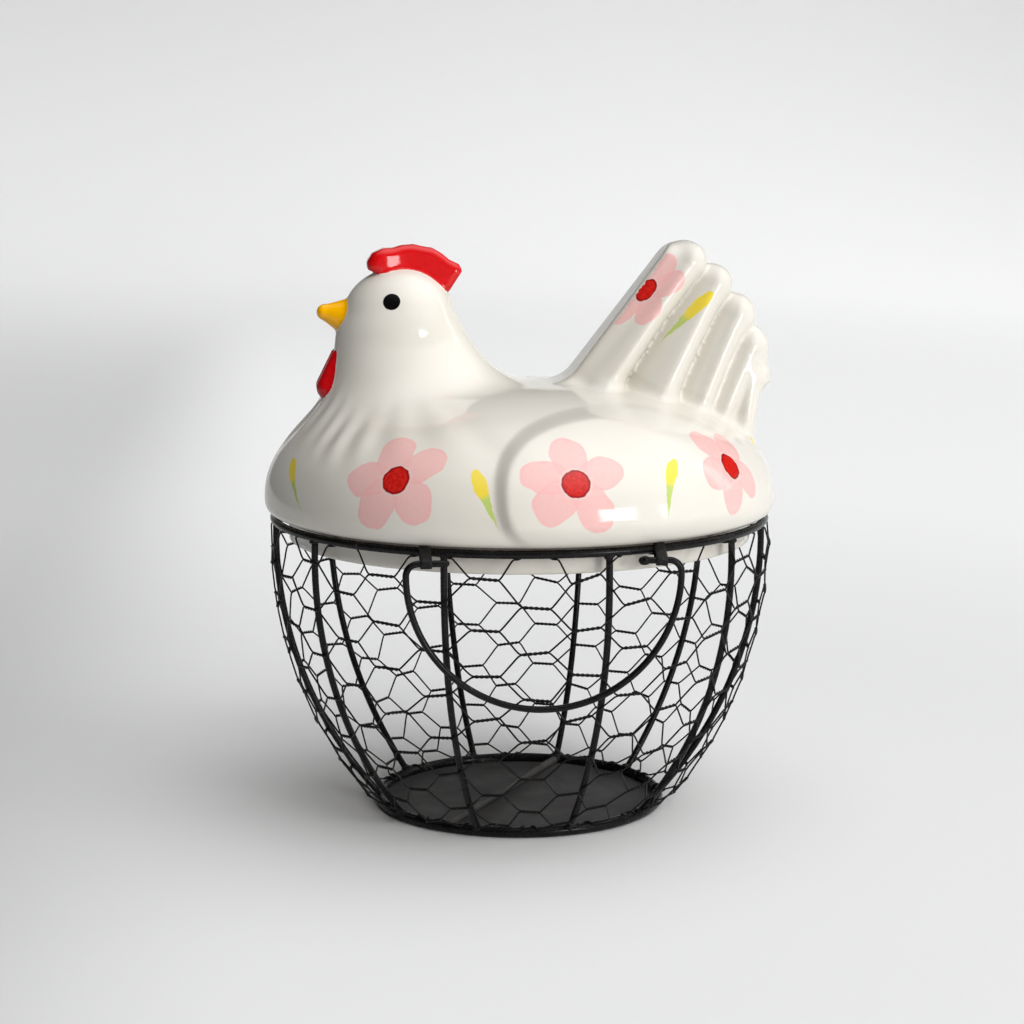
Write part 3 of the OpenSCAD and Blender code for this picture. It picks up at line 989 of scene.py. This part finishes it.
BOTH_SIDES = ((1, 1, 1), (1, -1, 1))
marks, buds = [], []
for (point, facing), size, turn, lie, narrow in FLOWERS:
    right, up = tangent_frame(point, facing, np.cross(facing, (0, 0, -1)))
    c, n = math.cos(math.radians(turn)), math.sin(math.radians(turn))
    u, v = right * c + up * n, up * c - right * n
    across = up * math.cos(math.radians(lie)) - right * math.sin(math.radians(lie))
    u, v = [w + across * (w @ across) * (1 / narrow - 1) for w in (u, v)]
    for mirror in BOTH_SIDES:
        marks.append((point * mirror, u * mirror / size, v * mirror / size, 0.0))
for (start, facing), (end, _), half, bow in BUDS:
    u, v = tangent_frame(start, facing, end - start)
    length = (end - start) @ u
    for mirror in BOTH_SIDES:
        buds.append((start * mirror, u * mirror / length, v * mirror / half, bow / half))


def painted_plane(verts, faces, frames, focus):
    """For each face corner, its place in the frame nearest to the face"""
    middle = verts[faces].mean(1)
    gaps = np.stack([np.linalg.norm(middle - f, axis=1) for f in focus], -1)
    chosen = gaps.argmin(-1)
    origin, u, v, bow = [np.array(part)[chosen] for part in zip(*frames)]
    off = verts[faces] - origin[:, None, :]
    flat = np.zeros(off.shape)
    flat[..., 0] = (off * u[:, None, :]).sum(-1)
    flat[..., 1] = (off * v[:, None, :]).sum(-1)
    flat[..., 2] = bow[:, None]
    return flat.reshape(-1, 3)


flower_plane = painted_plane(hen_verts, hen_faces, marks, [m[0] for m in marks])
bud_focus = [b[0] + b[1] / (b[1] @ b[1]) * 0.5 for b in buds]
bud_plane = painted_plane(hen_verts, hen_faces, buds, bud_focus)

# The paint stays on the outside, and off the tail's front
UNPAINTED = -5
hen_outer = hen_outside(hen_verts)
hen_outer[(tail_front(hen_verts) > -0.8) & (hen_verts[:, 0] > 10)] = UNPAINTED
one_side = hen_verts.copy()
one_side[:, 1] = -np.abs(one_side[:, 1])
eye_gap = np.linalg.norm(one_side - on_tail(EYE_X, EYE_Z)[0], axis=1)


def store(mesh, name, kind, domain, values):
    attribute = mesh.attributes.new(name, kind, domain)
    key = "vector" if kind == "FLOAT_VECTOR" else "value"
    attribute.data.foreach_set(key, np.ascontiguousarray(values, np.float32).ravel())


# Each petal of a flower: its bearing, how far out its middle is, and its half
# length and half width
PETALS = [
    (25, 9.8, 9.2, 6.3), (97, 10.2, 9.6, 6.6), (166, 10.3, 10.0, 6.4),
    (222, 9.7, 9.1, 7.1), (306, 9.7, 9.1, 6.7),
]
# The flower's red heart, and the dark line round it
HEART_R, HEART_LINE_R = 5.4, 5.1
# The share of a bud's length at which its head is the widest
BUD_WIDEST = 0.28

# Where two colours are given, the paint varies between them
PETAL_PINK = (0.82, 0.30, 0.31)
HEART_REDS = (0.47, 0.009, 0.007), (0.60, 0.02, 0.014)
HEART_LINE = (0.24, 0.006, 0.008)
BUD_YELLOW, BUD_GREEN = (0.78, 0.60, 0.025), (0.43, 0.55, 0.12)
GLAZE_WHITES = (0.665, 0.632, 0.565), (0.69, 0.662, 0.60)
GLAZE_SPECK = (0.5, 0.45, 0.38)
BEAK_YELLOWS = (0.98, 0.44, 0.0), (1.0, 0.50, 0.002)
COMB_REDS = (0.56, 0.003, 0.005), (0.62, 0.006, 0.008)
WATTLE_REDS = (0.50, 0.003, 0.006), (0.58, 0.006, 0.01)
EYE_BLACK = (0.004, 0.004, 0.004)
# Painted shade on the band where the lid sits on the rim
SEAT_SHADE_BROWN = (0.16, 0.13, 0.10)


def rotated(s, x, y, degrees):
    c, n = math.cos(math.radians(degrees)), math.sin(math.radians(degrees))
    along = s.plus(s.times(x, c), s.times(y, n))
    return along, s.minus(s.times(y, c), s.times(x, n))


def paint_flowers(s, colour, outside):
    place = s.split(s.attribute("flower", "Vector"))
    x = s.plus(place[0], s.step(s.noise(9.0, 1.0), 0.2, 0.8, -0.8, 0.8))
    y = s.plus(place[1], s.step(s.noise(6.0, 1.0), 0.2, 0.8, 0.5, -0.5))
    clear, deepest = 1.0, 0.0
    for degrees, out, length, half in PETALS:
        along, across = rotated(s, x, y, degrees)
        along = s.over(s.minus(along, out), length)
        # Wider towards its outer end
        across = s.over(across, s.times(s.step(along, -1.0, 0.4, 0.9, 1.05), half))
        oval = s.math("SQRT", s.plus(s.raised(along, 2.3), s.raised(across, 2.0)))
        petal = s.times(s.step(oval, 1.05, 0.95), s.step(oval, 0.82, 1.0, 0.55, 0.68))
        deepest = s.math("MAXIMUM", deepest, petal)
        clear = s.times(clear, s.minus(1.0, petal))
    # Where two petals overlap the pink is only a little deeper
    laid = s.times(s.minus(s.minus(1.0, clear), deepest), 0.3)
    streaks = s.step(s.noise(1.6), 0.25, 0.75, 0.9, 1.06)
    strength = s.times(s.times(s.plus(deepest, laid), streaks, clamp=True), outside)
    radius = s.math("SQRT", s.plus(s.raised(place[0], 2.0), s.raised(place[1], 2.0)))
    radius = s.plus(radius, s.step(s.noise(3.0, 2.0), 0.2, 0.8, -0.35, 0.35))
    strength = s.times(strength, s.step(radius, HEART_R, HEART_R + 1.2, 0.55, 1.0))
    colour = s.mix(strength, colour, PETAL_PINK)
    line = s.step(s.math("ABSOLUTE", s.minus(radius, HEART_LINE_R)), 0.75, 0.25)
    heart = s.mix(s.step(s.noise(1.2, 4.0), 0.3, 0.7), *HEART_REDS)
    heart = s.mix(s.times(line, 0.85), heart, HEART_LINE)
    disc = s.times(s.step(radius, HEART_R + 0.2, HEART_R - 0.2), outside)
    return s.mix(disc, colour, heart)


def paint_buds(s, colour, outside):
    t, side, bow = s.split(s.attribute("bud", "Vector"))
    arch = s.times(s.times(t, s.minus(1.0, t)), 4.0)
    wobble = s.step(s.noise(3.0, 2.0), 0.2, 0.8, -0.12, 0.12)
    across = s.math("ABSOLUTE", s.plus(s.plus(side, s.times(bow, arch)), wobble))
    early = s.minus(1.0, s.over(s.math("MINIMUM", t, BUD_WIDEST), BUD_WIDEST))
    head = s.math("SQRT", s.math("MAXIMUM", s.minus(1.0, s.raised(early, 2.0)), 0.0))
    tail = s.over(s.minus(1.0, t), 1 - BUD_WIDEST, clamp=True)
    half = s.times(head, s.raised(tail, 1.25))
    cover = s.times(s.step(s.minus(across, half), 0.08, -0.08), s.step(half, 0.0, 0.08))
    cover = s.times(cover, s.times(outside, s.step(t, 1.0, 0.75, 0.35, 0.93)))
    return s.mix(cover, colour, s.mix(s.step(t, 0.42, 0.54), BUD_YELLOW, BUD_GREEN))


def painted_seat_shade(s):
    """Painted brownish shade on the band where the lid sits on the rim, from 0 to 1"""
    height = s.split(s.place)[2]
    flat = s.vector("MULTIPLY", s.place)
    flat.inputs[1].default_value = (1, 1, 0)
    radius = s.vector("LENGTH", flat.outputs[0]).outputs["Value"]
    inward = s.step(radius, 95.0 * MM, 94.4 * MM)
    below = s.step(height, (SEAT_Z + 0.5) * MM, (SEAT_Z + 0.1) * MM)
    above = s.step(height, (SEAT_Z - 2.6) * MM, (SEAT_Z - 1.8) * MM)
    return s.times(inward, s.times(below, above))


def painted_glaze():
    s = Shader("painted_glaze", 0.42)
    cloud = s.noise(45.0, 2.0)
    colour = s.mix(s.step(cloud, 0.3, 0.7), *GLAZE_WHITES)
    speck = s.step(s.noise(0.9, 4.0), 0.73, 0.78)
    colour = s.mix(s.times(speck, 0.12), colour, GLAZE_SPECK)
    outside = s.step(s.attribute("outer_gap"), -2.0, -1.0)
    colour = paint_flowers(s, colour, outside)
    colour = paint_buds(s, colour, outside)
    brush = s.step(s.noise(2.2), 0.25, 0.75)
    comb = s.step(s.attribute("comb_gap"), 0.55, 0.3)
    beak = s.step(s.attribute("beak_gap"), 0.6, 0.35)
    wattle = s.step(s.attribute("wattle_gap"), 0.6, 0.35)
    eye = s.step(s.attribute("eye_gap"), EYE_R + 0.1, EYE_R - 0.1)
    for cover, paints in ((beak, BEAK_YELLOWS), (comb, COMB_REDS), (wattle, WATTLE_REDS)):
        colour = s.mix(cover, colour, s.mix(brush, *paints))
    colour = s.mix(eye, colour, EYE_BLACK)
    # The band where the lid sits on the rim gets painted brownish shade
    s.set("Base Color", s.mix(painted_seat_shade(s), colour, SEAT_SHADE_BROWN))
    s.set("Specular IOR Level", s.minus(0.42, s.times(eye, 0.3)))
    laid = s.plus(s.plus(comb, wattle), s.plus(beak, eye), clamp=True)
    s.set("Roughness", s.step(s.plus(cloud, s.times(laid, 0.2)), 0.3, 0.9, 0.07, 0.14))
    wave = s.bump(s.noise(16.0, 1.0), 0.10)
    fine = s.bump(s.noise(2.6, 2.0), 0.012, after=wave)
    s.set("Normal", s.bump(laid, 0.12, after=fine))
    return s.material


hen = Piece()
hen.add(hen_verts, hen_faces)
lid = hen.build("hen_ceramic", painted_glaze(), "lid", ["hen_lid"])
store(lid.data, "flower", "FLOAT_VECTOR", "CORNER", flower_plane)
store(lid.data, "bud", "FLOAT_VECTOR", "CORNER", bud_plane)
GAPS = {
    "outer_gap": hen_outer,
    "comb_gap": comb_distance(hen_verts),
    "beak_gap": beak_distance(hen_verts),
    "wattle_gap": wattle_distance(hen_verts),
    "eye_gap": eye_gap,
}
for name, gap in GAPS.items():
    store(lid.data, name, "FLOAT", "POINT", gap)

# ---- Floor, light and camera ----


# The floor's flat part, the radius of its bend and the top of the wall, in millimetres
FLOOR_R, FLOOR_BEND, FLOOR_TOP = 3200, 700, 1100


def stage_dish(sectors=96):
    """A pale floor that turns up into a low wall a long way off"""
    flat = [(r, 0.0) for r in np.linspace(1, FLOOR_R, 12)]
    turned = np.radians(np.arange(9, 91, 9))
    bend = [(FLOOR_R + FLOOR_BEND * math.sin(a), FLOOR_BEND * (1 - math.cos(a))) for a in turned]
    rows = flat + bend + [(FLOOR_R + FLOOR_BEND, FLOOR_TOP)]
    bearing = np.arange(sectors) * 360 / sectors
    rings = np.array([polar(r, bearing, z) for r, z in rows])
    return rings, list(grid_faces(len(rows), sectors)[:, ::-1]) + [range(sectors)]


def floor_paint():
    """Pale, with painted shade: a little darker close by and to the left, and dark
    outside the camera's view on the left, standing in for a screened-off side of the studio"""
    s = Shader("studio_floor", 0.1)
    s.set("Roughness", 0.8)
    right = s.split(s.place)[0]
    far = s.vector("LENGTH", s.place).outputs["Value"]
    # Painted shade: darker close by, brightest some way off and a little darker far away
    tone = s.times(s.step(far, 0.2, 0.9, 0.69, 0.80), s.step(far, 1.0, 3.6, 1.0, 0.94))
    # Painted shade to the left near the basket, and on the far wall darker to the left and lighter
    # to the right
    near_painted_shade = s.step(right, -0.26, -0.09, 0.72, 1.05)
    far_painted_shade = s.step(right, -0.9, 1.3, 0.84, 1.12)
    blend = s.times(s.step(far, 1.3, 3.0), s.minus(far_painted_shade, near_painted_shade))
    tone = s.times(tone, s.plus(near_painted_shade, blend))
    # Painted shade: dark on the left, beyond the camera's view
    tone = s.times(tone, s.step(right, -1.3, -0.75, 0.2, 1.0))
    s.set("Base Color", s.mix(tone, (0, 0, 0), (1, 1, 1)))
    return s.material


dish = Piece()
dish.add(*stage_dish())
floor = dish.make("studio_floor", floor_paint())

# The world is the brightest towards here, and dimmer and warmer away from it
SKY_FACING = (0.30, -0.05, 0.95)
WARM_SIDE, COOL_SIDE = (1.0, 0.86, 0.70, 1), (0.99, 0.995, 1.0, 1)

scene = bpy.context.scene


def studio_world():
    world = bpy.data.worlds.new("studio_world")
    world.use_nodes = True
    sky, join = world.node_tree.nodes, world.node_tree.links.new

    def ranged(value, *limits):
        made = sky.new("ShaderNodeMapRange")
        join(value, made.inputs[0])
        for slot, limit in zip(range(1, 5), limits):
            made.inputs[slot].default_value = limit
        return made.outputs[0]

    facing = sky.new("ShaderNodeVectorMath")
    facing.operation = "DOT_PRODUCT"
    facing.inputs[1].default_value = SKY_FACING
    join(sky.new("ShaderNodeTexCoord").outputs["Generated"], facing.inputs[0])
    tint = sky.new("ShaderNodeMix")
    tint.data_type = "RGBA"
    tint.inputs[6].default_value, tint.inputs[7].default_value = WARM_SIDE, COOL_SIDE
    join(ranged(facing.outputs["Value"], -1.0, 0.35, 0.0, 1.0), tint.inputs[0])
    join(tint.outputs[2], sky["Background"].inputs["Color"])
    strength = ranged(facing.outputs["Value"], 0.64, 1.0, 0.0, 2.35)
    join(strength, sky["Background"].inputs["Strength"])
    return world


def soft_light(name, place, aim_z, width, height, power):
    """A softbox, aimed at this height over the frame's origin"""
    data = bpy.data.lights.new(name, "AREA")
    data.shape = "RECTANGLE"
    data.size, data.size_y = width, height
    data.energy = power
    light = bpy.data.objects.new(name, data)
    scene.collection.objects.link(light)
    from_aim = np.array(place) - (0, 0, aim_z)
    back = from_aim / np.linalg.norm(from_aim)
    light.location = place
    light.rotation_euler = (math.acos(back[2]), 0, math.atan2(back[0], -back[1]))


scene.world = studio_world()
scene.view_settings.view_transform = "Standard"
soft_light("key_light", (0.84, -1.19, 0.36), 0.13, 0.40, 0.36, 6.0)
soft_light("strip_light", (1.23, -0.80, 0.33), 0.13, 0.05, 0.36, 0.5)
soft_light("side_light", (1.3, 0.35, 0.7), 0.15, 0.2, 0.7, 0.8)

# The broad light from above and the right is too wide to show in the glaze
SUN_FROM_TOP, SUN_TURN, SUN_ANGLE = 64, 33, 64
sun_data = bpy.data.lights.new("high_light", "SUN")
sun_data.energy = 2.25
sun_data.angle = math.radians(SUN_ANGLE)
sun = bpy.data.objects.new("high_light", sun_data)
scene.collection.objects.link(sun)
sun.rotation_euler = (math.radians(SUN_FROM_TOP), 0, math.radians(SUN_TURN))
sun.visible_glossy = False

# The camera's place in metres, and the turns that frame the photograph's view
CAMERA_FAR, CAMERA_BEARING, CAMERA_Z = 0.9, -5.5, 0.252
CAMERA_DOWN, CAMERA_TURN = 8.78, 0.176
camera_data = bpy.data.cameras.new("camera")
camera_data.sensor_width = 36
camera_data.lens = 83.5
camera = bpy.data.objects.new("camera", camera_data)
scene.collection.objects.link(camera)
camera.location = tuple(polar(CAMERA_FAR, CAMERA_BEARING, CAMERA_Z))
turns = (90 - CAMERA_DOWN, 0, CAMERA_BEARING + CAMERA_TURN)
camera.rotation_euler = [math.radians(turn) for turn in turns]
scene.camera = camera
